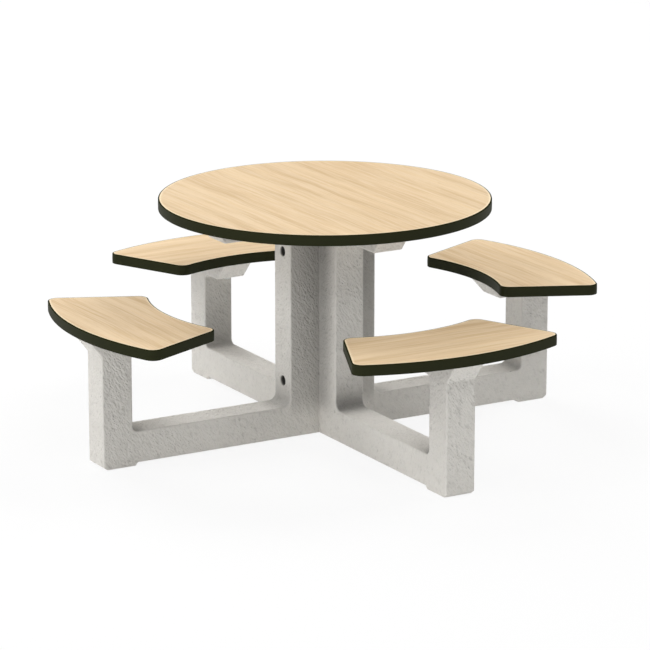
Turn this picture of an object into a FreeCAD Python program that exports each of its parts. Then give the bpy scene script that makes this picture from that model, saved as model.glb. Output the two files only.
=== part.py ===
import FreeCAD, Part
import math
import os

# Round table with four fixed seats on a cross of three cast concrete frames.
# The origin is on the floor under the centre of the table, with +Z up, and lengths are in millimetres.
# The main frame runs along Y. The two side frames run along -X and +X and butt on its sides.

# Table top and seats: laminate-faced panels of one thickness, with a band glued round the edge
TABLE_HEIGHT = 762.0
TABLE_RADIUS = 524.0
SEAT_HEIGHT = 454.0
SEAT_DEPTH = 315.0
SEAT_OVERHANG = 62.0
SEAT_HALF_ANGLE = 24.75
SEAT_INNER_CORNER = 20.0
SEAT_OUTER_CORNER = 25.0
SLAB_THICKNESS = 30.0
BAND_THICKNESS = 4.0
GLUE_LINE = 0.1

# Cast frames: the radii are measured from the centre line of the table
PANEL_THICKNESS = 101.6
POST_OUTER_RADIUS = 813.0
POST_DEPTH = 101.6
UPRIGHT_REACH = 154.0
ARM_DEPTH = 101.0
ARM_FILLET = 25.0
POST_FILLET = 18.0
ARRIS = 4.0
FOOT_HEIGHT = 10.0
FOOT_LENGTH = 111.0
FOOT_TOE_RUN = 14.0
FOOT_HEEL_RUN = 7.0

# Flared head on each post, under a seat, and bracket on each side of the upright, under the table
HEAD_DEPTH = 63.0
HEAD_REACH = 85.0
HEAD_INNER_FLARE = 58.0
HEAD_OUTER_FLARE = 50.0
BRACKET_DEPTH = 66.0
BRACKET_REACH = 231.0
BRACKET_FLARE = 53.0
HEAD_FILLET = 16.0

# Tie bolts that clamp the side frames to the main frame, with their heads and nuts in deep recesses
TIE_LOWER_RISE = 73.0
TIE_UPPER_DROP = 62.0
TIE_DIAMETER = 16.0
TIE_BORE_CLEARANCE = 1.0
TIE_FLATS = 24.0
TIE_HEAD_HEIGHT = 10.0
TIE_NUT_HEIGHT = 13.0
TIE_STICKOUT = 6.0
TIE_SOCKET_ROOM = 4.0
TIE_RECESS_DEPTH = 32.0
THREAD_CLEARANCE = 0.1

# Coach screws, driven from below through the heads and brackets into the panels
SCREW_DIAMETER = 12.0
SCREW_BORE_CLEARANCE = 1.0
SCREW_FLATS = 19.0
SCREW_HEAD_HEIGHT = 8.0
SCREW_ENGAGEMENT = 22.0
SCREW_HOLE_END = 2.0
SEAT_SCREW_SETBACK = 26.0
TABLE_SCREW_SETBACK = 98.0

# How far a cutting solid runs past the face that it cuts
OVERRUN = 5.0

# Heights and radii that follow from the sizes above
SEAT_OUTER_RADIUS = POST_OUTER_RADIUS + SEAT_OVERHANG
SEAT_INNER_RADIUS = SEAT_OUTER_RADIUS - SEAT_DEPTH
SEAT_UNDERSIDE = SEAT_HEIGHT - SLAB_THICKNESS
TABLE_UNDERSIDE = TABLE_HEIGHT - SLAB_THICKNESS
HEAD_UNDERSIDE = SEAT_UNDERSIDE - HEAD_DEPTH
BRACKET_UNDERSIDE = TABLE_UNDERSIDE - BRACKET_DEPTH
ARM_TOP = FOOT_HEIGHT + ARM_DEPTH
POST_INNER_RADIUS = POST_OUTER_RADIUS - POST_DEPTH
HEAD_TIP = POST_INNER_RADIUS - HEAD_REACH
BRACKET_TIP = UPRIGHT_REACH + BRACKET_REACH
HALF_PANEL = PANEL_THICKNESS / 2
TIE_HEIGHTS = {"lower": ARM_TOP + TIE_LOWER_RISE, "upper": BRACKET_UNDERSIDE - TIE_UPPER_DROP}
TIE_SEAT = UPRIGHT_REACH - TIE_RECESS_DEPTH

# Directions of the four wings of the cross, in degrees from +X
WING_ANGLES = {"right": 0, "back": 90, "left": 180, "front": 270}
MAIN_WINGS = ("front", "back")
SIDE_WINGS = ("left", "right")

ORIGIN = FreeCAD.Vector(0, 0, 0)
UP = FreeCAD.Vector(0, 0, 1)
ALONG_X = FreeCAD.Vector(1, 0, 0)


def turned(shape, angle):
    """A copy of the shape, turned about the table's centre line."""
    copy = shape.copy()
    copy.rotate(ORIGIN, UP, angle)
    return copy


def cylinder(diameter, start, length, axis):
    """A round bar of the given length along the axis."""
    return Part.makeCylinder(diameter / 2, length, start, axis)


def hexagon(flats, height, start, axis):
    """A hexagonal prism given by its width across the flats."""
    corner_radius = flats / 2 / math.cos(math.radians(30))
    points = []
    for step in range(7):
        angle = math.radians(60 * step)
        points.append(FreeCAD.Vector(corner_radius * math.cos(angle), corner_radius * math.sin(angle), 0))
    prism = Part.Face(Part.makePolygon(points)).extrude(UP * height)
    prism.Placement = FreeCAD.Placement(start, FreeCAD.Rotation(UP, axis))
    return prism


# Cast frames

def wing_outline():
    """Side view of one wing as (radius, height, corner radius), from the heel of the foot to the bracket."""
    heel = POST_OUTER_RADIUS - FOOT_LENGTH
    return [
        (heel - FOOT_HEEL_RUN, FOOT_HEIGHT, 0),
        (heel, 0, 0),
        (POST_OUTER_RADIUS - FOOT_TOE_RUN, 0, 0),
        (POST_OUTER_RADIUS, FOOT_HEIGHT, 0),
        (POST_OUTER_RADIUS, HEAD_UNDERSIDE, 0),
        (POST_OUTER_RADIUS + HEAD_OUTER_FLARE, SEAT_UNDERSIDE, 0),
        (HEAD_TIP - HEAD_INNER_FLARE, SEAT_UNDERSIDE, 0),
        (HEAD_TIP, HEAD_UNDERSIDE, 0),
        (POST_INNER_RADIUS, HEAD_UNDERSIDE, HEAD_FILLET),
        (POST_INNER_RADIUS, ARM_TOP, POST_FILLET),
        (UPRIGHT_REACH, ARM_TOP, ARM_FILLET),
        (UPRIGHT_REACH, BRACKET_UNDERSIDE, HEAD_FILLET),
        (BRACKET_TIP, BRACKET_UNDERSIDE, 0),
        (BRACKET_TIP + BRACKET_FLARE, TABLE_UNDERSIDE, 0),
    ]


def rounded_wire(outline):
    """A closed wire in the XZ plane, with a tangent arc at each corner that has a radius."""
    corners = [FreeCAD.Vector(x, 0, z) for x, z, radius in outline]
    starts = []
    ends = []
    edges = []
    for index, (x, z, radius) in enumerate(outline):
        corner = corners[index]
        before = (corners[index - 1] - corner).normalize()
        after = (corners[(index + 1) % len(corners)] - corner).normalize()
        half_angle = before.getAngle(after) / 2
        trim = radius / math.tan(half_angle)
        starts.append(corner + before * trim)
        ends.append(corner + after * trim)
        if radius:
            bisector = (before + after).normalize()
            middle = corner + bisector * (radius / math.sin(half_angle) - radius)
            edges.append(Part.Arc(starts[index], middle, ends[index]).toShape())
    for index, end in enumerate(ends):
        edges.append(Part.makeLine(end, starts[(index + 1) % len(starts)]))
    return Part.Wire(Part.__sortEdges__(edges))


def casting(outline, butt_radius=None):
    """A panel of the given side view with eased arrises, which stay sharp round a butt face."""
    panel = Part.Face(rounded_wire(outline)).extrude(FreeCAD.Vector(0, PANEL_THICKNESS, 0))
    panel.translate(FreeCAD.Vector(0, -HALF_PANEL, 0))
    arrises = []
    for edge in panel.Edges:
        box = edge.BoundBox
        on_side = box.YLength < ARRIS and abs(abs(box.Center.y) - HALF_PANEL) < ARRIS
        on_butt = butt_radius is not None and box.XLength < ARRIS and abs(box.Center.x - butt_radius) < ARRIS
        if on_side and not on_butt:
            arrises.append(edge)
    return panel.makeChamfer(ARRIS, arrises)


def seat_screw_place():
    """Where the screw goes up through a post's head, in the wing that points along +X."""
    return FreeCAD.Vector(HEAD_TIP + SEAT_SCREW_SETBACK, 0, 0)


def table_screw_place():
    """Where the screw goes up through a bracket, in the wing that points along +X."""
    return FreeCAD.Vector(BRACKET_TIP - TABLE_SCREW_SETBACK, 0, 0)


def wing_bores(angle):
    """Clearance bores for the screws in the wing at one angle."""
    diameter = SCREW_DIAMETER + 2 * SCREW_BORE_CLEARANCE
    start = seat_screw_place() + UP * (HEAD_UNDERSIDE - OVERRUN)
    seat_bore = cylinder(diameter, start, HEAD_DEPTH + 2 * OVERRUN, UP)
    start = table_screw_place() + UP * (BRACKET_UNDERSIDE - OVERRUN)
    table_bore = cylinder(diameter, start, BRACKET_DEPTH + 2 * OVERRUN, UP)
    return [turned(seat_bore, angle), turned(table_bore, angle)]


def tie_bores():
    """Clearance bores for the two tie bolts, right through the cross, with a recess at each end."""
    bores = []
    reach = UPRIGHT_REACH + OVERRUN
    for height in TIE_HEIGHTS.values():
        start = FreeCAD.Vector(-reach, 0, height)
        bores.append(cylinder(TIE_DIAMETER + 2 * TIE_BORE_CLEARANCE, start, 2 * reach, ALONG_X))
        for side in (-1, 1):
            mouth = FreeCAD.Vector(side * reach, 0, height)
            depth = TIE_RECESS_DEPTH + OVERRUN
            bores.append(cylinder(TIE_FLATS + 2 * TIE_SOCKET_ROOM, mouth, depth, ALONG_X * -side))
    return bores


def main_frame():
    """The casting along Y: two wings joined through a wide upright."""
    wing = wing_outline()
    mirrored = [(-radius, height, corner) for radius, height, corner in reversed(wing)]
    frame = turned(casting(wing + mirrored), WING_ANGLES["back"])
    bores = tie_bores()
    for name in MAIN_WINGS:
        bores += wing_bores(WING_ANGLES[name])
    return frame.cut(bores)


def side_frame(name):
    """A casting with one wing, whose upright ends at the side of the main frame."""
    outline = [(HALF_PANEL, FOOT_HEIGHT, 0)] + wing_outline() + [(HALF_PANEL, TABLE_UNDERSIDE, 0)]
    frame = turned(casting(outline, HALF_PANEL), WING_ANGLES[name])
    return frame.cut(tie_bores() + wing_bores(WING_ANGLES[name]))


# Fasteners

def tie_bolt(height):
    """A long bolt along X, with its head in the left recess and its end past the nut in the right one."""
    head = hexagon(TIE_FLATS, TIE_HEAD_HEIGHT, FreeCAD.Vector(-TIE_SEAT, 0, height), -ALONG_X)
    length = 2 * TIE_SEAT + TIE_NUT_HEIGHT + TIE_STICKOUT
    shank = cylinder(TIE_DIAMETER, FreeCAD.Vector(-TIE_SEAT, 0, height), length, ALONG_X)
    return head.fuse(shank).removeSplitter()


def tie_nut(height):
    """The nut on a tie bolt, on the floor of the right side frame's recess."""
    start = FreeCAD.Vector(TIE_SEAT, 0, height)
    bore = TIE_DIAMETER + 2 * THREAD_CLEARANCE
    hole = cylinder(bore, start - ALONG_X * OVERRUN, TIE_NUT_HEIGHT + 2 * OVERRUN, ALONG_X)
    return hexagon(TIE_FLATS, TIE_NUT_HEIGHT, start, ALONG_X).cut(hole)


def coach_screw(place, head_top, slab_underside):
    """A hexagon-headed screw, up through a casting and into a panel."""
    start = place + UP * head_top
    head = hexagon(SCREW_FLATS, SCREW_HEAD_HEIGHT, start - UP * SCREW_HEAD_HEIGHT, UP)
    shank = cylinder(SCREW_DIAMETER, start, slab_underside - head_top + SCREW_ENGAGEMENT, UP)
    return head.fuse(shank).removeSplitter()


# Panels and edge bands

def table_plate(inset, base, height):
    """A disc of the table's outline, drawn in all round by the inset."""
    return cylinder(2 * (TABLE_RADIUS - inset), UP * base, height, UP)


def corner_edges(plate, height, middle):
    """Upright edges of a seat plate, parted by the radius of the plate's middle."""
    edges = {"inner": [], "outer": []}
    for edge in plate.Edges:
        if edge.BoundBox.ZLength > height / 2:
            centre = edge.CenterOfMass
            side = "inner" if math.hypot(centre.x, centre.y) < middle else "outer"
            edges[side].append(edge)
    return edges


def seat_plate(inset, base, height):
    """A ring sector of the seat's outline along +X, drawn in all round by the inset, with round corners."""
    inner = SEAT_INNER_RADIUS + inset
    outer = SEAT_OUTER_RADIUS - inset
    ring = cylinder(2 * outer, UP * base, height, UP)
    ring = ring.cut(cylinder(2 * inner, UP * (base - OVERRUN), height + 2 * OVERRUN, UP))
    half_angle = math.radians(SEAT_HALF_ANGLE)
    apex = FreeCAD.Vector(inset / math.sin(half_angle), 0, base)
    far = 2 * SEAT_OUTER_RADIUS
    sides = [apex + FreeCAD.Vector(far * math.cos(half_angle), side * far * math.sin(half_angle), 0)
             for side in (-1, 1)]
    wedge = Part.Face(Part.makePolygon([apex, sides[0], sides[1], apex])).extrude(UP * height)
    sector = turned(ring, 180).common(wedge)
    middle = (inner + outer) / 2
    rounded = sector.makeFillet(SEAT_INNER_CORNER - inset, corner_edges(sector, height, middle)["inner"])
    return rounded.makeFillet(SEAT_OUTER_CORNER - inset, corner_edges(rounded, height, middle)["outer"])


def panel_and_band(plate, top, screw_places):
    """One slab: its laminate-faced panel, with a blind hole for each screw, and its edge band."""
    base = top - SLAB_THICKNESS
    depth = SCREW_ENGAGEMENT + SCREW_HOLE_END
    holes = []
    for place in screw_places:
        start = place + UP * (base - OVERRUN)
        holes.append(cylinder(SCREW_DIAMETER + 2 * THREAD_CLEARANCE, start, depth + OVERRUN, UP))
    panel = plate(BAND_THICKNESS, base, SLAB_THICKNESS).cut(holes)
    inside = plate(BAND_THICKNESS - GLUE_LINE, base - OVERRUN, SLAB_THICKNESS + 2 * OVERRUN)
    return panel, plate(0, base, SLAB_THICKNESS).cut(inside)


def all_parts():
    """Every sub-part by the name of its node."""
    parts = {"main_frame": main_frame()}
    for name in SIDE_WINGS:
        parts["side_frame_" + name] = side_frame(name)
    for name, height in TIE_HEIGHTS.items():
        parts["tie_bolt_" + name] = tie_bolt(height)
    parts["tie_nuts"] = Part.makeCompound([tie_nut(height) for height in TIE_HEIGHTS.values()])

    table_places = []
    for angle in WING_ANGLES.values():
        table_places.append(FreeCAD.Rotation(UP, angle).multVec(table_screw_place()))
    parts["table_panel"], parts["table_edge_band"] = panel_and_band(table_plate, TABLE_HEIGHT, table_places)
    screws = [coach_screw(place, BRACKET_UNDERSIDE, TABLE_UNDERSIDE) for place in table_places]
    parts["table_screws"] = Part.makeCompound(screws)

    panel, band = panel_and_band(seat_plate, SEAT_HEIGHT, [seat_screw_place()])
    screw = coach_screw(seat_screw_place(), HEAD_UNDERSIDE, SEAT_UNDERSIDE)
    for name, angle in WING_ANGLES.items():
        parts["seat_" + name + "_panel"] = turned(panel, angle)
        parts["seat_" + name + "_edge_band"] = turned(band, angle)
        parts["seat_" + name + "_screw"] = turned(screw, angle)
    return parts


os.makedirs("parts", exist_ok=True)
for node, shape in all_parts().items():
    shape.exportStep("parts/" + node + ".step")
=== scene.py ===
import math

import bmesh
import bpy
import numpy as np
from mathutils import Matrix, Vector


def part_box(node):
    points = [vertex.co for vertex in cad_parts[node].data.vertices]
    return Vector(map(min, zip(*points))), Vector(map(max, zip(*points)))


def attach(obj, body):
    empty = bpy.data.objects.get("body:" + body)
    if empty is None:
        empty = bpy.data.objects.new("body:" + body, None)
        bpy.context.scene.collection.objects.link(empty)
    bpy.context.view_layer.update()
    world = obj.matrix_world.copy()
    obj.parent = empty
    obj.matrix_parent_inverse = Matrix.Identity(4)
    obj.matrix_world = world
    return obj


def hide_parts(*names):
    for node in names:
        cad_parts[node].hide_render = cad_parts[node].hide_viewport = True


# Looks of a round table with four fixed seats on a cross of three cast concrete frames.
# Every piece stands in the CAD frame, in metres: the origin is on the floor under the table's centre,
# +Z is up, the main frame runs along Y, and the side frames run along -X and +X.

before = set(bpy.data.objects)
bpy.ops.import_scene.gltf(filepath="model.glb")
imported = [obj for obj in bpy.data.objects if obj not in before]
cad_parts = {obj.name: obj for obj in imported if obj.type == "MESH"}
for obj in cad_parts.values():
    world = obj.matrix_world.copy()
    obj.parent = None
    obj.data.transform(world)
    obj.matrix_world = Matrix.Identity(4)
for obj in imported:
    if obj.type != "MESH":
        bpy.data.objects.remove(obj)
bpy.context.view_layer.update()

LOW, HIGH = 0, 1
X, Y, Z = 0, 1, 2


def coordinate(node, end, axis):
    """A coordinate of a CAD node's box, rounded to the micrometre."""
    return round(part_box(node)[end][axis], 6)


def middle(node, axis):
    """The middle of a CAD node's box along an axis, rounded to the micrometre."""
    return round((coordinate(node, LOW, axis) + coordinate(node, HIGH, axis)) / 2, 6)


# Sizes that the frame gives
TABLE_TOP = coordinate("table_panel", HIGH, Z)
TABLE_UNDERSIDE = coordinate("table_panel", LOW, Z)
TABLE_RADIUS = coordinate("table_edge_band", HIGH, X)
BAND = round(TABLE_RADIUS - coordinate("table_panel", HIGH, X), 6)
SEAT_TOP = coordinate("seat_right_panel", HIGH, Z)
SEAT_UNDERSIDE = coordinate("seat_right_panel", LOW, Z)
SEAT_OUTER = coordinate("seat_right_edge_band", HIGH, X)
SLAB = round(SEAT_TOP - SEAT_UNDERSIDE, 6)
PANEL_HALF = coordinate("main_frame", HIGH, X)
HEAD_OUTER = coordinate("main_frame", HIGH, Y)
TIE_HEIGHTS = {name: middle("tie_bolt_" + name, Z) for name in ("lower", "upper")}
TIE_SEAT = coordinate("tie_nuts", LOW, X)
TIE_END = coordinate("tie_bolt_lower", HIGH, X)
SEAT_SCREW_RADIUS = middle("seat_right_screw", X)

# Sizes of the solids that their boxes don't show
SEAT_INNER = 0.560
SEAT_HALF_ANGLE = math.radians(24.75)
GLUE = 0.0001
FOOT_HEEL = 0.702
FOOT_TOE = 0.799
FOOT_SLOPE = 0.007
POST_OUTER = 0.813
POST_INNER = 0.7114
UPRIGHT = 0.154
ARM_UNDERSIDE = 0.010
ARM_TOP = 0.111
HEAD_UNDERSIDE = 0.361
HEAD_TIP = 0.6264
HEAD_FLARE = 0.058
BRACKET_UNDERSIDE = 0.666
BRACKET_TIP = 0.385
BRACKET_FLARE = 0.053
UNDERSIDE_FILLET = 0.016
POST_FILLET = 0.018
UPRIGHT_FILLET = 0.025
RECESS_RADIUS = 0.016
RECESS_DEPTH = 0.032
TIE_BORE_RADIUS = 0.009
TABLE_SCREW_RADIUS = 0.287

# Finer forms that only the looks have
ARRIS = 0.0045
ARRIS_RIM = 0.001
CAST_CORNER = 0.006
TIP_CORNER = 0.010
HEAD_BEND = 0.012
BUTT_CORNER = 0.0002
SEAT_OUTER_CORNER = 0.032  # the seats' corners are rounder than the solids', as in the photograph
SEAT_INNER_CORNER = 0.034
PANEL_EASE = 0.0005
PAINTED_EDGE_HIGHLIGHT = ((0.0090, 0.0), (0.0055, 0.3), (0.0028, 0.85))  # distance in from a panel's edge, and strength of the painted highlight there
BAND_PROUD = 0.0003
BAND_CROWN = 0.0003
BAND_LAP = 0.0009
BAND_LIP = 0.0030  # the photograph's band is higher than the solids' by this much
BAND_TOP_ROUND = 0.0032
BAND_LOW_ROUND = 0.0012
RECESS_LIP = 0.0022

# Divisions of the meshes
ROUND_STEPS = 7
BAND_FACE_STEPS = 9
RECESS_SQUARE = 0.024  # half the width of the square of grid cells that a recess takes the place of
RECESS_CELLS = 12
TABLE_SIDES = 288
HEAD_SIDES = 72
SHANK_SIDES = 24
FLOOR_SIDES = 96

# Painted shade, as the share of the tone that it takes at most, and painted light on the arms' tops, as the
# share that it gives
MAIN_PAINTED_SHADE = {"corner": 0.64, "inner_face": 0.42}
SIDE_PAINTED_SHADE = {"corner": 0.36, "inner_face": 0.06}
POST_FOOT_PAINTED_SHADE = 0.42
ARM_PAINTED_LIGHT = 0.19

WINGS = {"right": 0, "back": 90, "left": 180, "front": 270}


# Shapes

def turned(points, degrees):
    """Points turned about the table's centre line: x cos - y sin, x sin + y cos."""
    c, s = math.cos(math.radians(degrees)), math.sin(math.radians(degrees))
    return points @ np.array([[c, s, 0.0], [-s, c, 0.0], [0.0, 0.0, 1.0]])


def grid_faces(rows, columns, wrap_rows=True, wrap_columns=False):
    """Quads between neighbouring rows and columns of a grid whose points are numbered row by row."""
    i = np.arange(rows if wrap_rows else rows - 1)[:, None]
    j = np.arange(columns if wrap_columns else columns - 1)[None]
    ni, nj = (i + 1) % rows, (j + 1) % columns
    corners = np.broadcast_arrays(i * columns + j, i * columns + nj, ni * columns + nj, ni * columns + j)
    return np.stack(corners, -1).reshape(-1, 4)


def end_faces(rows, columns):
    """The two faces that close a grid whose rows wrap round: its first column, and its last one reversed."""
    row = np.arange(rows)
    return row * columns, row[::-1] * columns + columns - 1


def rounded_outline(corners, step=0.03, rows=None):
    """Closed outline of straight runs joined by tangent arcs, counter-clockwise.

    A corner is (across, up, radius). Its arc starts radius x tan(half the turn) before the corner, and its
    normals turn evenly from one run's to the next one's. Runs are divided at about the step, with one more
    point just inside each end, or at the distances that rows gives for the run after a corner.
    Returns points (n, 2) and outward unit normals (n, 2).
    """
    table = np.array(corners, float)
    corner, radius = table[:, :2], table[:, 2]
    run = np.roll(corner, -1, 0) - corner
    length = np.linalg.norm(run, axis=1)
    ahead = run / length[:, None]
    behind = np.roll(ahead, 1, 0)
    turn = np.arctan2(behind[:, 0] * ahead[:, 1] - behind[:, 1] * ahead[:, 0], (behind * ahead).sum(1))
    trim = radius * np.tan(np.abs(turn) / 2)
    side = np.sign(turn)
    first = np.stack([behind[:, 1], -behind[:, 0]], 1)
    centre = corner - behind * trim[:, None] - first * (side * radius)[:, None]
    points, normals = [], []
    for k in range(len(corner)):
        angle = np.linspace(0, turn[k], 3 + int(abs(turn[k]) * 7))
        normal = np.stack([np.cos(angle) * first[k, 0] - np.sin(angle) * first[k, 1],
                           np.sin(angle) * first[k, 0] + np.cos(angle) * first[k, 1]], 1)
        points.append(centre[k] + normal * side[k] * radius[k])
        normals.append(normal)
        clear = length[k] - trim[k] - trim[(k + 1) % len(trim)]
        if rows and k in rows:
            along = np.asarray(rows[k]) - trim[k]
        else:
            inside = min(0.0015, clear / 4)
            along = np.linspace(inside, clear - inside, 2 + int(clear / step))
        points.append(corner[k] + ahead[k] * (trim[k] + along)[:, None])
        normals.append(np.broadcast_to([ahead[k, 1], -ahead[k, 0]], (len(along), 2)))
    return np.concatenate(points), np.concatenate(normals)


def carried(points, normals, profile, share=None):
    """A profile carried round an outline: point (i, j) is outline point i, drawn in along its normal by
    inset j (times the share of outline point i), at height j. Returns (i, j, 3): across, up and height."""
    inset = np.ones(len(points))[:, None] * profile[None, :, 0]
    if share is not None:
        inset = inset * share[:, None]
    flat = points[:, None] - normals[:, None] * inset[..., None]
    height = np.broadcast_to(profile[:, 1], inset.shape)
    return np.concatenate([flat, height[..., None]], -1)


def quarter(radius, inset, height, falling):
    """A quarter round as (inset, height): from the flat face to the side (falling), or from the side to the
    flat face."""
    angle = np.linspace(0, math.pi / 2, ROUND_STEPS)
    if falling:
        return np.stack([inset - radius * np.sin(angle), height - radius * (1 - np.cos(angle))], 1)
    return np.stack([inset - radius * np.cos(angle), height - radius * np.sin(angle) + radius], 1)


def piece(name, parts, materials, sharp, values=None):
    """A mesh object that stands for the node of its name, from (points, faces, material number) parts. It is
    welded, faces outwards and is shaded smooth, with edges over the sharp angle kept. values holds named
    attributes, with one number for each point."""
    points, faces, numbers, start = [], [], [], 0
    for part_points, part_faces, number in parts:
        points.append(part_points.reshape(-1, 3))
        faces += [(np.asarray(f) + start).tolist() for f in part_faces]
        numbers += [number] * len(part_faces)
        start += len(points[-1])
    mesh = bpy.data.meshes.new(name)
    mesh.from_pydata(np.concatenate(points).tolist(), [], faces)
    mesh.polygons.foreach_set("material_index", np.array(numbers, np.int32))
    for label, levels in (values or {}).items():
        mesh.attributes.new(label, "FLOAT", "POINT").data.foreach_set("value", levels.astype(np.float32))
    work = bmesh.new()
    work.from_mesh(mesh)
    bmesh.ops.remove_doubles(work, verts=work.verts, dist=2e-6)
    bmesh.ops.recalc_face_normals(work, faces=work.faces)
    work.to_mesh(mesh)
    work.free()
    mesh.shade_smooth()
    mesh.set_sharp_from_angle(angle=math.radians(sharp))
    for material in materials:
        mesh.materials.append(material)
    made = bpy.data.objects.new(name, mesh)
    bpy.context.scene.collection.objects.link(made)
    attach(made, "root")
    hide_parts(name)
    return made


# Cast frames

def wing_corners():
    """Side view of one wing as (radius, height, corner radius), from the foot's heel to the bracket's tip."""
    return [
        (FOOT_HEEL - FOOT_SLOPE, ARM_UNDERSIDE, CAST_CORNER),
        (FOOT_HEEL, 0.0, CAST_CORNER),
        (FOOT_TOE, 0.0, CAST_CORNER),
        (POST_OUTER, ARM_UNDERSIDE, CAST_CORNER),
        (POST_OUTER, HEAD_UNDERSIDE, HEAD_BEND),
        (HEAD_OUTER, SEAT_UNDERSIDE, CAST_CORNER),
        (HEAD_TIP - HEAD_FLARE, SEAT_UNDERSIDE, CAST_CORNER),
        (HEAD_TIP, HEAD_UNDERSIDE, TIP_CORNER),
        (POST_INNER, HEAD_UNDERSIDE, UNDERSIDE_FILLET),
        (POST_INNER, ARM_TOP, POST_FILLET),
        (UPRIGHT, ARM_TOP, UPRIGHT_FILLET),
        (UPRIGHT, BRACKET_UNDERSIDE, UNDERSIDE_FILLET),
        (BRACKET_TIP, BRACKET_UNDERSIDE, TIP_CORNER),
        (BRACKET_TIP + BRACKET_FLARE, TABLE_UNDERSIDE, CAST_CORNER),
    ]


def cast_profile():
    """Across a casting, as (inset, height): a flat rim, a round arris, the edge face in narrow steps, and
    back."""
    beside = [PANEL_HALF - ARRIS - 0.002, RECESS_SQUARE + 0.010]
    square = np.linspace(RECESS_SQUARE, -RECESS_SQUARE, RECESS_CELLS + 1)
    flat = np.concatenate([beside, square, np.negative(beside[::-1])])
    rise = quarter(ARRIS, ARRIS, PANEL_HALF, True)
    fall = quarter(ARRIS, ARRIS, -PANEL_HALF, False)
    rim = np.array([[ARRIS + ARRIS_RIM, PANEL_HALF]])
    return np.concatenate([rim, rise, np.stack([np.zeros_like(flat), flat], 1), fall, rim * [1, -1]])


def upright_rows(recesses):
    """Distances up an upright's end face from the arm's top, at which its grid is divided: just past the
    fillet, at each cell of the recesses' squares, and about every 30 mm between the squares."""
    rows = [ARM_TOP + UPRIGHT_FILLET + 0.0015, min(recesses) + RECESS_SQUARE + 0.03]
    rows += np.linspace(0.26, 0.55, 10).tolist()
    for height in recesses:
        rows += np.linspace(height - RECESS_SQUARE, height + RECESS_SQUARE, RECESS_CELLS + 1).tolist()
    return np.sort(rows) - ARM_TOP


def recess(height):
    """A bolt recess in the end face of an upright: rings that pass from a square of grid points to a circle,
    then over a round lip, down the wall, across the floor and into the bore. Ring k lies at radius k and
    depth k."""
    count = 4 * RECESS_CELLS
    lap = np.arange(count) / RECESS_CELLS
    square = RECESS_SQUARE * np.stack([np.interp(lap, range(5), [1, -1, -1, 1, 1]),
                                       np.interp(lap, range(5), [1, 1, -1, -1, 1])], 1)
    around = square / np.linalg.norm(square, axis=1)[:, None]
    bend = np.linspace(0, math.pi / 2, 6)
    wall = [(RECESS_RADIUS, 0.008), (RECESS_RADIUS, 0.018), (RECESS_RADIUS, RECESS_DEPTH - 0.0016),
            (RECESS_RADIUS - 0.0008, RECESS_DEPTH), (TIE_BORE_RADIUS, RECESS_DEPTH), (TIE_BORE_RADIUS, 0.044)]
    wall_radius, wall_depth = np.transpose(wall)
    radius = np.concatenate([RECESS_RADIUS + RECESS_LIP * (1 - np.sin(bend)), wall_radius])
    depth = np.concatenate([[0, 0], RECESS_LIP * (1 - np.cos(bend)), wall_depth])
    flat = [square, (square + around * radius[0]) / 2]
    rings = np.concatenate([flat, around[None] * radius[:, None, None]])
    inward = np.broadcast_to(depth[:, None], rings.shape[:2])
    points = np.stack([UPRIGHT - inward, height + rings[..., 0], rings[..., 1]], -1)
    faces = grid_faces(len(depth), count, wrap_rows=False, wrap_columns=True).tolist()
    return points, faces + [(np.arange(count) + (len(depth) - 1) * count).tolist()]


def painted_foot_shade_and_light(points, corner, inner_face):
    """Painted shade in the inner corners of a wing, by place in its side view.

    It falls off with the distance from the foot of the upright (at most corner) and of the post, and with the
    height up the post's inner face (at most inner_face). It is below zero on the top of the arm between the
    feet, as painted light that makes that top paler.
    """
    across, above = np.abs(points[:, 0]), points[:, 1] - ARM_TOP

    def near(foot, most, full, fade):
        return most * np.exp(-np.maximum(np.hypot(across - foot, above) - full, 0) / fade)

    upright = near(UPRIGHT, corner, 0.012, 0.055)
    post = near(POST_INNER, POST_FOOT_PAINTED_SHADE, 0.008, 0.030)
    face = inner_face * np.exp(-np.maximum(above, 0) / 0.28) * (np.abs(across - POST_INNER) < 0.001)
    past_upright = np.clip((across - UPRIGHT - 0.02) / 0.06, 0, 1)
    before_post = np.clip((POST_INNER - 0.02 - across) / 0.04, 0, 1)
    painted_light = ARM_PAINTED_LIGHT * past_upright * before_post * (np.abs(above) < 0.0015)
    return (np.maximum(np.maximum(upright, post), face) - painted_light) * (above > -0.001)


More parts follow.
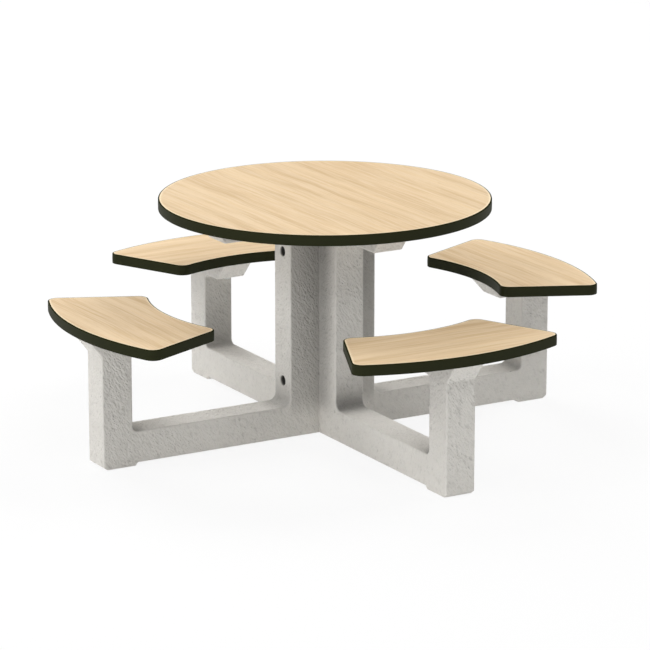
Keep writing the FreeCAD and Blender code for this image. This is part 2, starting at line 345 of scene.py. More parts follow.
def casting(name, corners, degrees, painted_shade, butt=None, recesses=()):
    """A cast panel: its profile carried round the side view, with a flat face on each side. Arrises fade out
    round the butt corners, and the squares of grid cells at the recesses give way to their rings."""
    rows = None
    if recesses:
        rows = {corners.index((UPRIGHT, ARM_TOP, UPRIGHT_FILLET)): upright_rows(recesses)}
    points, normals = rounded_outline(corners, rows=rows)
    share = np.ones(len(points))
    if butt is not None:
        share[np.abs(points[:, 0] - butt) < 1e-4] = 0.0
    local = carried(points, normals, cast_profile(), share)
    count, width = local.shape[:2]
    faces = grid_faces(count, width)
    centres = local.reshape(-1, 3)[faces].mean(1)
    keep = np.ones(len(faces), bool)
    for height in recesses:
        inside = np.abs(centres - [UPRIGHT, height, 0]) < [1e-5, RECESS_SQUARE, RECESS_SQUARE]
        keep &= ~inside.all(1)
    column, last = np.arange(width), width - 1
    round_end = ROUND_STEPS + 1
    rounds = np.linspace(0, round_end, 5)
    arris = np.interp(column, [*rounds, *(last - rounds[::-1])], [0, 0.5, 1, 0.5, 0] * 2)
    inner = np.interp(column, [2, round_end, last - round_end, last - 2], [0, 1, 1, 0])
    arris = [np.broadcast_to(arris, (count, width)).ravel()]
    # painted shade in the inner corners and painted light on the arms' tops, one number for each point
    painted_shade_and_light = [(painted_foot_shade_and_light(points, **painted_shade)[:, None] * inner).ravel()]
    painted_recess_shade = [np.zeros(count * width)]
    parts = [(local, [*faces[keep].tolist(), *end_faces(count, width)], 0)]
    for height in recesses:
        rings, ring_faces = recess(height)
        parts.append((rings, ring_faces, 0))
        depth = (UPRIGHT - rings[..., 0]).ravel()
        # the lip counts as an arris: a flatter bump, and painted shade that dims its highlight
        arris.append(np.interp(depth, [0.0, 0.0006, RECESS_LIP], [0.0, 0.9, 0.0]))
        # painted shade inside the recess, full from a few millimetres down
        painted_recess_shade.append(np.interp(depth, [0.0012, 0.0060], [0.0, 1.0]))
        painted_shade_and_light.append(painted_foot_shade_and_light(rings.reshape(-1, 3) + [[1, 0, 0]] * depth[:, None], **painted_shade))
    stand_up = np.array([[1.0, 0, 0], [0, 0, 1.0], [0, -1.0, 0]])
    parts = [(turned(p.reshape(-1, 3) @ stand_up, degrees), f, number) for p, f, number in parts]
    values = {"arris": np.concatenate(arris), "painted_recess_shade": np.concatenate(painted_recess_shade), "painted_shade_and_light": np.concatenate(painted_shade_and_light)}
    return piece(name, parts, [CONCRETE], 40, values)


# Panels and edge bands

def table_outline():
    """The table's rim: a circle, with its normals along the radius."""
    angle = np.arange(TABLE_SIDES) * math.tau / TABLE_SIDES
    normals = np.stack([np.cos(angle), np.sin(angle)], 1)
    return normals * TABLE_RADIUS, normals


def seat_outline(degrees):
    """A seat's rim, counter-clockwise: a sector of a ring whose corners are arcs that touch the ring and the
    side. A corner's centre lies at the ring's radius less (outside) or plus (inside) its own, turned in from
    the side by the angle whose sine is its radius over that distance."""
    outer, inner = SEAT_OUTER - SEAT_OUTER_CORNER, SEAT_INNER + SEAT_INNER_CORNER
    far = SEAT_HALF_ANGLE - math.asin(SEAT_OUTER_CORNER / outer)
    near = SEAT_HALF_ANGLE - math.asin(SEAT_INNER_CORNER / inner)
    square = SEAT_HALF_ANGLE + math.pi / 2
    half, full = math.pi, math.tau
    arcs = [  # the centre's radius and angle, the arc's radius, its first and last angle, and its points
        (0, 0, SEAT_OUTER, -far, far, 72),
        (outer, far, SEAT_OUTER_CORNER, far, square, 14),
        (inner, near, SEAT_INNER_CORNER, square, half + near, 14),
        (0, 0, -SEAT_INNER, half + near, half - near, 56),
        (inner, -near, SEAT_INNER_CORNER, half - near, full - square, 14),
        (outer, -far, SEAT_OUTER_CORNER, full - square, full - far, 14),
    ]
    points, normals = [], []
    for away, at, radius, start, end, count in arcs:
        angle = np.linspace(start, end, count)
        normal = np.stack([np.cos(angle), np.sin(angle)], 1)
        points.append(away * np.array([math.cos(at), math.sin(at)]) + normal * radius)
        normals.append(normal)
    points, normals = np.concatenate(points), np.concatenate(normals)
    turn = math.radians(degrees)
    spin = np.array([[math.cos(turn), math.sin(turn)], [-math.sin(turn), math.cos(turn)]])
    return points @ spin, normals @ spin


def panel(name, outline, top, laminate):
    """A faced board: the rim drawn in by the band's thickness, with a finely eased top edge. The rim
    attribute, a painted highlight along the edge, is 1 at the edge and falls to 0 over a few millimetres. The
    face is laminate, and the rest is backing sheet."""
    base = top - SLAB
    profile = [[BAND + inset, top] for inset, pale in PAINTED_EDGE_HIGHLIGHT]
    profile += [[BAND + PANEL_EASE, top], [BAND, top - PANEL_EASE], [BAND, base + PANEL_EASE],
                [BAND + PANEL_EASE, base], [BAND + 0.002, base]]
    # painted highlight along the edge, full on the eased edge
    rim = [pale for inset, pale in PAINTED_EDGE_HIGHLIGHT] + [1, 1, 0, 0, 0]
    local = carried(*outline, np.array(profile))
    count, width = local.shape[:2]
    faces = grid_faces(count, width)
    upper = np.tile(np.arange(width - 1) <= len(PAINTED_EDGE_HIGHLIGHT), count)
    face, back = end_faces(count, width)
    parts = [(local, faces[upper].tolist() + [face], 0), (local, faces[~upper].tolist() + [back], 1)]
    rim = np.broadcast_to(rim, (count, width)).ravel()
    return piece(name, parts, [laminate, BACKER], 30, {"rim": np.concatenate([rim, rim])})


def edge_band(name, outline, top):
    """An edge band, carried round the rim: a strip with a slightly crowned face, whose upper edge is rounded
    over nearly its whole thickness and laps just over the panel, and whose lower edge hangs below it as a
    lip. The face attribute is 1 on the outer face and 0 on the rounded edges."""
    inner = BAND - GLUE
    lap = inner + BAND_LAP
    high, low, seam = top + BAND_PROUD, top - SLAB - BAND_LIP, top + 0.00005
    face = np.linspace(high - BAND_TOP_ROUND - 0.0005, low + BAND_LOW_ROUND + 0.001, BAND_FACE_STEPS)
    bulge = BAND_CROWN * (1 - np.cos(np.linspace(0, math.tau, BAND_FACE_STEPS))) / 2
    over = [[inner, top - 0.0004], [inner, seam], [lap, seam], [lap - 0.0002, high]]
    profile = np.concatenate([over,
                              quarter(BAND_TOP_ROUND, BAND_TOP_ROUND + BAND_CROWN, high, True),
                              np.stack([BAND_CROWN - bulge, face], 1),
                              quarter(BAND_LOW_ROUND, BAND_LOW_ROUND + BAND_CROWN, low, False),
                              [[inner - 0.0004, low], [inner, low + 0.0004]]])
    local = carried(*outline, profile)
    count, width = local.shape[:2]
    first = len(over) + ROUND_STEPS
    last = first + BAND_FACE_STEPS - 1
    shown = np.interp(np.arange(width), [first - 4, first, last, last + 4], [0, 1, 1, 0])
    shown = np.broadcast_to(shown, (count, width)).ravel()
    parts = [(local, grid_faces(count, width, wrap_columns=True), 0)]
    return piece(name, parts, [VINYL], 35, {"face": shown})


# Fasteners

def hexagon_head(flats, height, flange_radius, flange, bore=0.0):
    """A flanged hexagon along +Z from its seat at 0. Ring k has its own height, and a radius that is either
    round or the hexagon's, flats / 2 / cos(angle from the middle of a flat). A cone takes off the corners at
    the top, and a head without a bore is slightly dished."""
    angle = np.arange(HEAD_SIDES) * math.tau / HEAD_SIDES
    hexagon = flats / 2 / np.cos((angle + math.pi / 6) % (math.pi / 3) - math.pi / 6)
    cone = flats / 2 * 0.96
    corner_height = height - (hexagon - cone) * math.tan(math.radians(30))
    rings = [(bore, 0), (flange_radius - 0.0005, 0), (flange_radius, 0.0004), (flange_radius, flange * 0.55),
             (hexagon + 0.0004, flange + 0.0002), (hexagon, flange + 0.0008), (hexagon, corner_height),
             (cone, height)]
    if bore:
        rings.append((bore, height))
    else:
        rings += [(cone * 0.62, height), (cone * 0.58, height - 0.0004)]
    one = np.ones(HEAD_SIDES)
    radius = np.stack([one * ring for ring, up in rings])
    heights = np.stack([one * up for ring, up in rings])
    points = np.stack([radius * np.cos(angle), radius * np.sin(angle), heights], -1)
    faces = grid_faces(len(rings), HEAD_SIDES, wrap_rows=bool(bore), wrap_columns=True).tolist()
    if not bore:
        faces.append((np.arange(HEAD_SIDES) + (len(rings) - 1) * HEAD_SIDES).tolist())
    return points, faces


def threaded_shank(radius, length, pitch, thread):
    """A bar along +Z: over the length of its thread its radius dips by a triangle wave of height / pitch -
    angle / full turn, and it falls to a chamfer at its end."""
    thread_from = length - thread
    angle = np.arange(SHANK_SIDES) * math.tau / SHANK_SIDES
    tip = [length - pitch, length - pitch / 2, length]
    height = np.concatenate([np.linspace(0.0, thread_from, 3)[:-1],
                             np.arange(thread_from, length - pitch, pitch / 5), tip])[:, None]
    wave = np.abs((height / pitch - angle / math.tau) % 1 - 0.5) * 2
    cut = np.clip((height - thread_from) / pitch, 0, 1) * np.clip((length - height) / pitch, 0, 1)
    chamfer = np.clip(1 - (length - height) / pitch, 0, 1)
    wide = radius - wave * cut * pitch * 0.55 - chamfer * pitch * 0.6
    points = np.stack([wide * np.cos(angle), wide * np.sin(angle), np.broadcast_to(height, wide.shape)], -1)
    faces = grid_faces(len(height), SHANK_SIDES, wrap_rows=False, wrap_columns=True).tolist()
    side = np.arange(SHANK_SIDES)
    return points, faces + [side.tolist(), (side + (len(height) - 1) * SHANK_SIDES).tolist()]


def along_x(points, place, forward):
    """Points whose own +Z is turned to +X (forward) or -X, and moved to their place."""
    x, y, z = np.moveaxis(points, -1, 0)
    return np.stack([z, x, y], -1) * [forward, forward, 1] + place


def tie_bolt(name, height):
    """A long bolt along X: its flanged head in the left recess, its threaded end past the nut in the right
    one."""
    head, head_faces = hexagon_head(flats=0.024, height=0.010, flange_radius=0.0148, flange=0.0026)
    shank, shank_faces = threaded_shank(radius=0.008, length=TIE_SEAT + TIE_END, pitch=0.002, thread=0.049)
    parts = [(along_x(head, [-TIE_SEAT, 0, height], -1), head_faces, 0),
             (along_x(shank, [-TIE_SEAT, 0, height], 1), shank_faces, 0)]
    return piece(name, parts, [ZINC], 28)


def tie_nuts(name):
    """The flanged nuts on the tie bolts, on the floors of the right side frame's recesses."""
    nut, faces = hexagon_head(flats=0.024, height=0.013, flange_radius=0.0148, flange=0.0026, bore=0.0081)
    parts = [(along_x(nut, [TIE_SEAT, 0, height], 1), faces, 0) for height in TIE_HEIGHTS.values()]
    return piece(name, parts, [ZINC], 28)


def coach_screws(name, places, under):
    """Screws up through a casting into a panel, each a flanged hexagon head below and a threaded shank above.
    They start at the casting's underside and end where the node of their name does."""
    length = round(coordinate(name, HIGH, Z) - under, 6)
    head, head_faces = hexagon_head(flats=0.019, height=0.008, flange_radius=0.0125, flange=0.0022)
    shank, shank_faces = threaded_shank(radius=0.006, length=length, pitch=0.0045, thread=0.026)
    parts = []
    for radius, degrees in places:
        at = turned(np.array([[radius, 0.0, under]]), degrees)[0]
        parts.append((head * [1, -1, -1] + at, head_faces, 0))
        parts.append((shank + at, shank_faces, 0))
    return piece(name, parts, [ZINC], 28)


# Colours
WHITE = (1.0, 1.0, 1.0, 1.0)
FLOOR_GREY = (0.86, 0.86, 0.86, 1.0)
CONCRETE_GREY = (0.690, 0.669, 0.628, 1.0)
DARK_SAND = (0.24, 0.22, 0.19, 1.0)
AIR_HOLE = (0.17, 0.16, 0.145, 1.0)
RECESS_PAINTED_SHADE = (0.065, 0.062, 0.056, 1.0)
OAK_DARK = (0.530, 0.367, 0.200, 1.0)
OAK_PALE = (0.686, 0.518, 0.321, 1.0)
OAK_LINE = (0.705, 0.556, 0.376, 1.0)
OAK_PORE = (0.45, 0.30, 0.16, 1.0)
OAK_PAINTED_HIGHLIGHT = (0.86, 0.71, 0.49, 1.0)
BACKER_GREY = (0.115, 0.100, 0.085, 1.0)
OLIVE = (0.0150, 0.0169, 0.0045, 1.0)
OLIVE_SCUFF = (0.05, 0.052, 0.035, 1.0)
ZINC_GREY = (0.60, 0.60, 0.58, 1.0)
ZINC_SPOT = (0.42, 0.42, 0.41, 1.0)

# The direction along which blasting has drawn out the concrete's grit
BLAST = (0.61, 0.0, -0.79)


# Finishes

def add(tree, kind, inputs=None, **settings):
    """A node with its settings, and with a value or a link on each input that is named."""
    node = tree.nodes.new(kind)
    for key, value in settings.items():
        setattr(node, key, value)
    for key, value in (inputs or {}).items():
        if isinstance(value, bpy.types.NodeSocket):
            tree.links.new(value, node.inputs[key])
        else:
            node.inputs[key].default_value = value
    return node


def maths(tree, operation, a, b=0.0, c=0.0, clamp=False):
    """One step of arithmetic."""
    return add(tree, "ShaderNodeMath", {0: a, 1: b, 2: c}, operation=operation, use_clamp=clamp).outputs[0]


def times(tree, a, b):
    """A product."""
    return maths(tree, "MULTIPLY", a, b)


def plus(tree, a, b):
    """A sum."""
    return maths(tree, "ADD", a, b)


def less(tree, a, b):
    """A difference."""
    return maths(tree, "SUBTRACT", a, b)


def vectors(tree, operation, inputs, output="Vector"):
    """One step of arithmetic with vectors."""
    return add(tree, "ShaderNodeVectorMath", inputs, operation=operation).outputs[output]


def ramp(tree, value, low, high, low_out=0.0, high_out=1.0):
    """A value carried smoothly from one range to another."""
    inputs = {"Value": value, "From Min": low, "From Max": high, "To Min": low_out, "To Max": high_out}
    return add(tree, "ShaderNodeMapRange", inputs, interpolation_type="SMOOTHSTEP").outputs["Result"]


def noise(tree, vector, scale, detail, roughness=0.5):
    """The outputs of a noise texture."""
    inputs = {"Vector": vector, "Scale": scale, "Detail": detail, "Roughness": roughness}
    return add(tree, "ShaderNodeTexNoise", inputs).outputs


def attribute(tree, name):
    """A mesh attribute's value."""
    return add(tree, "ShaderNodeAttribute", attribute_name=name).outputs["Fac"]


def mixed(tree, share, one, other, blend="MIX"):
    """Two colours mixed by a share."""
    node = add(tree, "ShaderNodeMix", {"Factor": share, 6: one, 7: other}, data_type="RGBA", blend_type=blend)
    return node.outputs[2]


def toned(tree, colour, tone):
    """A colour times a tone."""
    level = add(tree, "ShaderNodeCombineColor", {0: tone, 1: tone, 2: tone}).outputs[0]
    return mixed(tree, 1.0, colour, level, "MULTIPLY")


def new_group(name, inputs, outputs):
    """An empty shader node group with float or vector inputs and float outputs."""
    tree = bpy.data.node_groups.new(name, "ShaderNodeTree")
    for label, default in inputs.items():
        kind = "NodeSocketVector" if label == "Vector" else "NodeSocketFloat"
        socket = tree.interface.new_socket(label, in_out="INPUT", socket_type=kind)
        if kind == "NodeSocketFloat":
            socket.default_value = default
    for label in outputs:
        tree.interface.new_socket(label, in_out="OUTPUT", socket_type="NodeSocketFloat")
    return tree, tree.nodes.new("NodeGroupInput").outputs, tree.nodes.new("NodeGroupOutput").inputs


def placed(tree, group, inputs):
    """The outputs of a node group that is placed in a material with its own values."""
    return add(tree, "ShaderNodeGroup", inputs, node_tree=group).outputs


def slow_tone_group():
    """Slow change of tone: wide noise, about 0 and mostly within plus or minus the strength."""
    tree, given, out = new_group("Slow tone", {"Vector": None, "Scale": 3.0, "Strength": 0.05}, ["Tone"])
    wide = noise(tree, given["Vector"], given["Scale"], 4.0, 0.6)["Fac"]
    level = times(tree, less(tree, wide, 0.5), given["Strength"])
    tree.links.new(times(tree, level, 3.0), out["Tone"])
    return tree


def grit_group():
    """Blasted grit: rounded grains from a bent cell pattern, with lumps and finer sand over them. Height is
    about 0 to 1."""
    tree, given, out = new_group("Blasted grit", {"Vector": None, "Scale": 250.0}, ["Height", "Sand"])
    vector, scale = given["Vector"], given["Scale"]
    bend = noise(tree, vector, times(tree, scale, 0.5), 1.0)["Color"]
    shift = vectors(tree, "SUBTRACT", {0: bend, 1: (0.5, 0.5, 0.5)})
    push = vectors(tree, "SCALE", {0: shift, "Scale": maths(tree, "DIVIDE", 1.6, scale)})
    bent = vectors(tree, "ADD", {0: vector, 1: push})
    cells = add(tree, "ShaderNodeTexVoronoi", {"Vector": bent, "Scale": scale, "Smoothness": 0.7},
                feature="SMOOTH_F1").outputs["Distance"]
    lumps = noise(tree, vector, times(tree, scale, 0.42), 2.0, 0.55)["Fac"]
    sand = noise(tree, vector, times(tree, scale, 3.2), 2.0, 0.6)["Fac"]
    grains = less(tree, 0.75, cells)
    height = plus(tree, times(tree, grains, 0.55), times(tree, lumps, 0.75))
    tree.links.new(plus(tree, height, times(tree, sand, 0.22)), out["Height"])
    tree.links.new(sand, out["Sand"])
    return tree


def specks_group():
    """Scattered specks: the hearts of a share of the cells of a cell pattern, 1 inside and 0 outside, with
    ragged edges."""
    inputs = {"Vector": None, "Scale": 40.0, "Size": 0.1, "Share": 0.3}
    tree, given, out = new_group("Scattered specks", inputs, ["Mask"])
    cells = add(tree, "ShaderNodeTexVoronoi", {"Vector": given["Vector"], "Scale": given["Scale"]}).outputs
    chance = add(tree, "ShaderNodeSeparateColor", {0: cells["Color"]}).outputs
    chosen = maths(tree, "LESS_THAN", chance[0], given["Share"])
    size = times(tree, given["Size"], plus(tree, 0.45, chance[1]))
    ragged = noise(tree, given["Vector"], times(tree, given["Scale"], 9.0), 1.0)["Fac"]
    reach = plus(tree, cells["Distance"], times(tree, less(tree, ragged, 0.5), size))
    inside = maths(tree, "SUBTRACT", 1.0, maths(tree, "DIVIDE", reach, size), clamp=True)
    tree.links.new(times(tree, ramp(tree, inside, 0.0, 0.5), chosen), out["Mask"])
    return tree


def streaks_group():
    """Grain along the vector's Y that sways a little: noise drawn out about thirty times, as broad bands,
    finer lines and pores."""
    outputs = {"Bands": (30.0, 1.1, 3.0), "Lines": (130.0, 4.0, 3.0), "Pores": (620.0, 22.0, 1.0)}
    tree, given, out = new_group("Straight grain", {"Vector": None, "Scale": 1.0}, outputs)
    sway = noise(tree, given["Vector"], 2.8, 2.0)["Fac"]
    apart = add(tree, "ShaderNodeSeparateXYZ", {0: given["Vector"]}).outputs
    across = plus(tree, apart[X], times(tree, less(tree, sway, 0.5), 0.034))
    for label, (wide, long, detail) in outputs.items():
        drawn = add(tree, "ShaderNodeCombineXYZ", {
            X: times(tree, times(tree, across, wide), given["Scale"]),
            Y: times(tree, times(tree, apart[Y], long), given["Scale"]),
            Z: wide * 0.31}).outputs[0]
        tree.links.new(noise(tree, drawn, 1.0, detail, 0.62)["Fac"], out[label])
    return tree


SLOW_TONE = slow_tone_group()
GRIT = grit_group()
SPECKS = specks_group()
STREAKS = streaks_group()


def finish(name, roughness, **constants):
    """A material with its Principled shader, whose constants stand on the shader's own sockets, and the
    piece's place."""
    material = bpy.data.materials.new(name)
    material.use_nodes = True
    tree = material.node_tree
    shader = tree.nodes["Principled BSDF"]
    shader.inputs["Roughness"].default_value = roughness
    for label, value in constants.items():
        shader.inputs[label.replace("_", " ")].default_value = value
    place = add(tree, "ShaderNodeTexCoord").outputs["Object"]
    return material, tree, shader.inputs, place


def clouds(tree, place, scale, strength):
    """Slow change of tone in a material."""
    return placed(tree, SLOW_TONE, {"Vector": place, "Scale": scale, "Strength": strength})["Tone"]


def specks(tree, place, scale, size, share):
    """Specks in a material, 1 inside and 0 outside."""
    return placed(tree, SPECKS, {"Vector": place, "Scale": scale, "Size": size, "Share": share})["Mask"]


def bumped(tree, inputs, height, distance, strength):
    """The shader's normal from a height."""
    bump = add(tree, "ShaderNodeBump", {"Height": height, "Distance": distance, "Strength": strength})
    tree.links.new(bump.outputs["Normal"], inputs["Normal"])


def painted_shade_under_table(tree, place):
    """Painted shade on the middle of the base under the table: how much darker it is, more with height
    between the arms and the brackets, less away from the centre, and nothing from the uprights' end faces
    outwards."""
    apart = add(tree, "ShaderNodeSeparateXYZ", {0: place}).outputs
    across, along = maths(tree, "ABSOLUTE", apart[X]), maths(tree, "ABSOLUTE", apart[Y])
    rise = times(tree, ramp(tree, apart[Z], 0.06, 0.14), ramp(tree, apart[Z], 0.70, 0.66))
    dark = times(tree, rise, maths(tree, "MULTIPLY_ADD", apart[Z], 0.34, 0.28))
    dark = times(tree, dark, ramp(tree, across, UPRIGHT + 0.0005, UPRIGHT - 0.006))
    dark = times(tree, dark, ramp(tree, across, 0.20, 0.04, 0.5, 1.0))
    return times(tree, dark, ramp(tree, along, 0.165, 0.078))


def sandblasted_concrete():
    """Light warm grey concrete: grit, slow clouds, pits, dark grains of sand, air holes, smoother arrises
    with painted shade on them, painted shade and painted light by place, and painted shade in the bolt
    recesses."""
    material, tree, inputs, place = finish("sandblasted_concrete", 0.88, Specular_IOR_Level=0.2)
    slant = vectors(tree, "DOT_PRODUCT", {0: place, 1: BLAST}, "Value")
    pull = vectors(tree, "SCALE", {0: BLAST, "Scale": times(tree, slant, -0.45)})
    drawn = vectors(tree, "ADD", {0: place, 1: pull})
    grit = placed(tree, GRIT, {"Vector": drawn, "Scale": 150.0})
    pits = specks(tree, drawn, 95.0, 0.34, 0.34)
    sand = specks(tree, place, 160.0, 0.24, 0.10)
    holes = specks(tree, place, 24.0, 0.062, 0.16)
    arris = attribute(tree, "arris")
    tone = plus(tree, clouds(tree, place, 4.0, 0.04), clouds(tree, place, 21.0, 0.03))
    tone = plus(tree, tone, 1.0)
    tone = times(tree, tone, ramp(tree, grit["Height"], 0.28, 0.62, 0.915, 1.03))
    tone = times(tree, tone, ramp(tree, grit["Sand"], 0.3, 0.7, 0.98, 1.02))
    tone = times(tree, tone, less(tree, 1.0, times(tree, pits, 0.06)))
    # painted shade on the arrises and recess lips, which dims their highlight
    tone = plus(tree, tone, times(tree, arris, -0.03))
    # painted shade under the table
    tone = times(tree, tone, less(tree, 1.0, painted_shade_under_table(tree, place)))
    # painted shade in the inner corners, and painted light on the arms' tops
    tone = times(tree, tone, less(tree, 1.0, attribute(tree, "painted_shade_and_light")))
    colour = toned(tree, CONCRETE_GREY, tone)
    colour = mixed(tree, times(tree, sand, 0.12), colour, DARK_SAND)
    colour = mixed(tree, times(tree, holes, 0.45), colour, AIR_HOLE)
    # painted shade in the bolt recesses
    colour = mixed(tree, attribute(tree, "painted_recess_shade"), colour, RECESS_PAINTED_SHADE)
    tree.links.new(colour, inputs["Base Color"])
    tree.links.new(ramp(tree, grit["Sand"], 0.3, 0.7, 0.82, 0.94), inputs["Roughness"])
    height = less(tree, grit["Height"], times(tree, holes, 1.6))
    height = less(tree, height, times(tree, pits, 0.3))
    flatter = maths(tree, "MULTIPLY_ADD", arris, -0.85, 1.0)
    bumped(tree, inputs, times(tree, less(tree, height, 0.6), flatter), 0.0046, 1.0)
    return material


def oak_laminate(name, along_x_axis, painted_light_tone):
    """Satin woodgrain laminate: pale oak with broad bands, finer lines and short pores along the grain, and a
    painted highlight along the rim."""
    material, tree, inputs, place = finish(name, 0.6, Specular_IOR_Level=0.1)
    if along_x_axis:
        turn = {"Vector": place, "Rotation": (0.0, 0.0, math.pi / 2)}
        place = add(tree, "ShaderNodeMapping", turn).outputs[0]
    grain = placed(tree, STREAKS, {"Vector": place, "Scale": 1.0})
    bands = ramp(tree, grain["Bands"], 0.28, 0.72)
    lines = ramp(tree, grain["Lines"], 0.30, 0.70)
    pores = ramp(tree, grain["Pores"], 0.60, 0.74)
    colour = mixed(tree, bands, OAK_DARK, OAK_PALE)
    colour = mixed(tree, times(tree, lines, 0.65), colour, OAK_LINE)
    colour = mixed(tree, times(tree, pores, 0.30), colour, OAK_PORE)
    # the whole laminate toned by painted_light_tone, a tone of painted light
    colour = toned(tree, colour, plus(tree, clouds(tree, place, 2.6, 0.03), painted_light_tone))
    # painted highlight along the panel's rim
    colour = mixed(tree, attribute(tree, "rim"), colour, OAK_PAINTED_HIGHLIGHT)
    tree.links.new(colour, inputs["Base Color"])
    tree.links.new(ramp(tree, grain["Lines"], 0.2, 0.8, 0.66, 0.56), inputs["Roughness"])
    bumped(tree, inputs, less(tree, times(tree, lines, 0.4), pores), 0.00006, 0.6)
    return material


def backing_sheet():
    """Plain backing sheet under a panel: warm grey with faint sanding lines and clouds."""
    material, tree, inputs, place = finish("backing_sheet", 0.6)
    lines = placed(tree, STREAKS, {"Vector": place, "Scale": 2.0})["Lines"]
    tone = plus(tree, clouds(tree, place, 6.0, 0.04), 1.0)
    tone = plus(tree, tone, ramp(tree, lines, 0.3, 0.7, -0.03, 0.03))
    tree.links.new(toned(tree, BACKER_GREY, tone), inputs["Base Color"])
    tree.links.new(ramp(tree, lines, 0.3, 0.7, 0.55, 0.66), inputs["Roughness"])
    bumped(tree, inputs, lines, 0.00006, 0.6)
    return material


def olive_vinyl():
    """Dark olive vinyl: a fine leathery skin, slow tone, faint paler scuffs, and a sheen on its face."""
    material, tree, inputs, place = finish("olive_vinyl", 0.65, Specular_IOR_Level=0.0, Coat_Roughness=0.34)
    skin = placed(tree, GRIT, {"Vector": place, "Scale": 900.0})["Height"]
    scuffs = specks(tree, place, 30.0, 0.05, 0.12)
    tone = plus(tree, clouds(tree, place, 9.0, 0.09), ramp(tree, skin, 0.3, 0.65, 0.9, 1.1))
    colour = mixed(tree, times(tree, scuffs, 0.25), toned(tree, OLIVE, tone), OLIVE_SCUFF)
    tree.links.new(colour, inputs["Base Color"])
    tree.links.new(ramp(tree, skin, 0.3, 0.65, 0.70, 0.60), inputs["Roughness"])
    tree.links.new(times(tree, attribute(tree, "face"), 0.2), inputs["Coat Weight"])
    bumped(tree, inputs, skin, 0.00012, 0.5)
    return material


def zinc_plate():
    """Zinc plated steel: bright grey with slow clouds, fine grit and a few dull spots."""
    material, tree, inputs, place = finish("zinc_plate", 0.36, Metallic=1.0)
    skin = placed(tree, GRIT, {"Vector": place, "Scale": 1500.0})["Height"]
    spots = specks(tree, place, 300.0, 0.25, 0.2)
    colour = toned(tree, ZINC_GREY, plus(tree, clouds(tree, place, 60.0, 0.08), 1.0))
    colour = mixed(tree, times(tree, spots, 0.3), colour, ZINC_SPOT)
    tree.links.new(colour, inputs["Base Color"])
    roughness = plus(tree, ramp(tree, skin, 0.3, 0.7, 0.42, 0.30), times(tree, spots, 0.2))
    tree.links.new(roughness, inputs["Roughness"])
    bumped(tree, inputs, skin, 0.00004, 0.4)
    return material


CONCRETE = sandblasted_concrete()
TABLE_OAK = oak_laminate("table_oak_laminate", False, 1.0)
# the seats' laminate is painted 5 % lighter than the table's, as painted light
SEAT_OAK = {along: oak_laminate("seat_oak_laminate_" + along, along == "along_x", 1.05)
            for along in ("along_x", "along_y")}
BACKER = backing_sheet()
VINYL = olive_vinyl()
ZINC = zinc_plate()


# The object

wing = wing_corners()
mirrored = [(-radius, height, corner) for radius, height, corner in reversed(wing)]
casting("main_frame", wing + mirrored, 90, MAIN_PAINTED_SHADE)
butt_low, butt_high = (PANEL_HALF, ARM_UNDERSIDE, BUTT_CORNER), (PANEL_HALF, TABLE_UNDERSIDE, BUTT_CORNER)
side = [butt_low, *wing, butt_high]
for name in ("left", "right"):
    casting("side_frame_" + name, side, WINGS[name], SIDE_PAINTED_SHADE, PANEL_HALF, list(TIE_HEIGHTS.values()))

panel("table_panel", table_outline(), TABLE_TOP, TABLE_OAK)
edge_band("table_edge_band", table_outline(), TABLE_TOP)
coach_screws("table_screws", [(TABLE_SCREW_RADIUS, angle) for angle in WINGS.values()], BRACKET_UNDERSIDE)
for name, angle in WINGS.items():
    along = "along_y" if name in ("left", "right") else "along_x"
    panel(f"seat_{name}_panel", seat_outline(angle), SEAT_TOP, SEAT_OAK[along])
    edge_band(f"seat_{name}_edge_band", seat_outline(angle), SEAT_TOP)
    coach_screws(f"seat_{name}_screw", [(SEAT_SCREW_RADIUS, angle)], HEAD_UNDERSIDE)

for name, height in TIE_HEIGHTS.items():
    tie_bolt("tie_bolt_" + name, height)
tie_nuts("tie_nuts")


# Floor, light and camera

SOFTBOXES = {  # azimuth and elevation in degrees, and watts
    "left_softbox": (170, 45, 750.0),
    "left_front_softbox": (201, 20, 600.0),
    "back_low_softbox": (95, 15, 1060.0),
    "back_high_softbox": (90, 45, 860.0),
    "right_softbox": (0, 45, 1120.0),
    "front_low_softbox": (268, 45, 220.0),
    "front_high_softbox": (266, 60, 490.0),
}
LAMP_SIZE = 8.0
LAMP_DISTANCE = 15.0
LAMP_AIM = 0.4
CAMERA_PLACE = (-5.5236, -9.5673, 3.3047)
CAMERA_LEFT_OF_FRONT = math.radians(30)
CAMERA_UP = math.radians(15)


def looked_at(tree, seen):
    """1 for rays from the camera, from mirrors and through glass, and 0 for the light itself."""
    direct = maths(tree, "MAXIMUM", seen["Is Camera Ray"], seen["Is Glossy Ray"])
    return maths(tree, "MAXIMUM", direct, seen["Is Transmission Ray"])


def pale_floor():
    """A pale matt floor that camera rays see nearly white, with the object's shadow kept. Its underside is
    clear, so that the part can be looked at from below."""
    material = bpy.data.materials.new("pale_floor")
    material.use_nodes = True
    tree = material.node_tree
    tree.nodes.clear()
    seen = add(tree, "ShaderNodeLightPath").outputs
    matt = add(tree, "ShaderNodeBsdfDiffuse", {"Color": FLOOR_GREY}).outputs[0]
    white = add(tree, "ShaderNodeEmission", {"Color": WHITE, "Strength": 1.0}).outputs[0]
    lift = times(tree, seen["Is Diffuse Ray"], 0.21)
    glow = add(tree, "ShaderNodeEmission", {"Strength": lift}).outputs[0]
    lit = add(tree, "ShaderNodeAddShader", {0: matt, 1: glow}).outputs[0]
    share = times(tree, looked_at(tree, seen), 0.88)
    upper = add(tree, "ShaderNodeMixShader", {0: share, 1: lit, 2: white}).outputs[0]
    clear = add(tree, "ShaderNodeBsdfTransparent").outputs[0]
    below = add(tree, "ShaderNodeNewGeometry").outputs["Backfacing"]
    both = add(tree, "ShaderNodeMixShader", {0: below, 1: upper, 2: clear}).outputs[0]
    add(tree, "ShaderNodeOutputMaterial", {"Surface": both})
    return material


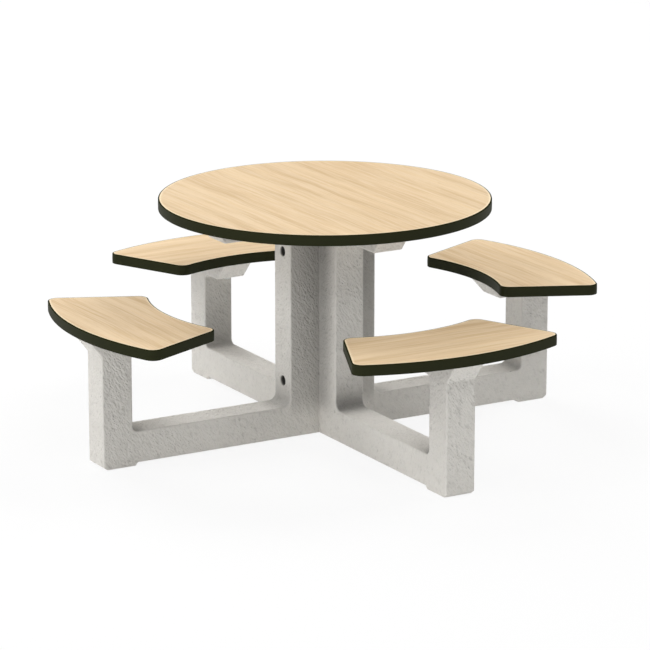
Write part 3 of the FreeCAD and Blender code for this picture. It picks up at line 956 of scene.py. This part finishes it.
def floor():
    """A wide flat disc: rings of points at growing radii."""
    angle = np.arange(FLOOR_SIDES) * math.tau / FLOOR_SIDES
    radius = np.array([0.01, 3.0, 12.0, 60.0])[:, None]
    flat = np.zeros((len(radius), FLOOR_SIDES))
    points = np.stack([radius * np.cos(angle), radius * np.sin(angle), flat], -1)
    faces = grid_faces(len(radius), FLOOR_SIDES, wrap_rows=False, wrap_columns=True)[:, ::-1].tolist()
    mesh = bpy.data.meshes.new("floor")
    mesh.from_pydata(points.reshape(-1, 3).tolist(), [], faces + [np.arange(FLOOR_SIDES).tolist()])
    mesh.materials.append(pale_floor())
    made = bpy.data.objects.new("floor", mesh)
    bpy.context.scene.collection.objects.link(made)


def softbox(name, azimuth, elevation, watts):
    """A large square lamp far away, in the direction of two angles, that faces the middle of the base."""
    lamp = bpy.data.lights.new(name, "AREA")
    lamp.shape = "SQUARE"
    lamp.size = LAMP_SIZE
    lamp.energy = watts
    turn, rise = math.radians(azimuth), math.radians(elevation)
    out = LAMP_DISTANCE * math.cos(rise)
    made = bpy.data.objects.new(name, lamp)
    made.location = (out * math.cos(turn), out * math.sin(turn), LAMP_AIM + LAMP_DISTANCE * math.sin(rise))
    made.rotation_euler = (math.pi / 2 - rise, 0.0, math.pi / 2 + turn)
    bpy.context.scene.collection.objects.link(made)


def surroundings():
    """White surroundings for camera and mirror rays, which give no light of their own."""
    world = bpy.data.worlds.new("white_surroundings")
    world.use_nodes = True
    tree = world.node_tree
    background = tree.nodes["Background"].inputs
    background["Color"].default_value = WHITE
    seen = add(tree, "ShaderNodeLightPath").outputs
    tree.links.new(looked_at(tree, seen), background["Strength"])
    bpy.context.scene.world = world


def camera():
    """A long lens at the photograph's viewing angle."""
    lens = bpy.data.cameras.new("camera")
    lens.lens = 200.0
    lens.sensor_width = 36.0
    lens.clip_end = 200.0
    made = bpy.data.objects.new("camera", lens)
    made.location = CAMERA_PLACE
    made.rotation_euler = (math.pi / 2 - CAMERA_UP, 0.0, -CAMERA_LEFT_OF_FRONT)
    bpy.context.scene.collection.objects.link(made)
    bpy.context.scene.camera = made


floor()
surroundings()
for name, (azimuth, elevation, watts) in SOFTBOXES.items():
    softbox(name, azimuth, elevation, watts)
camera()
bpy.context.scene.view_settings.view_transform = "Standard"
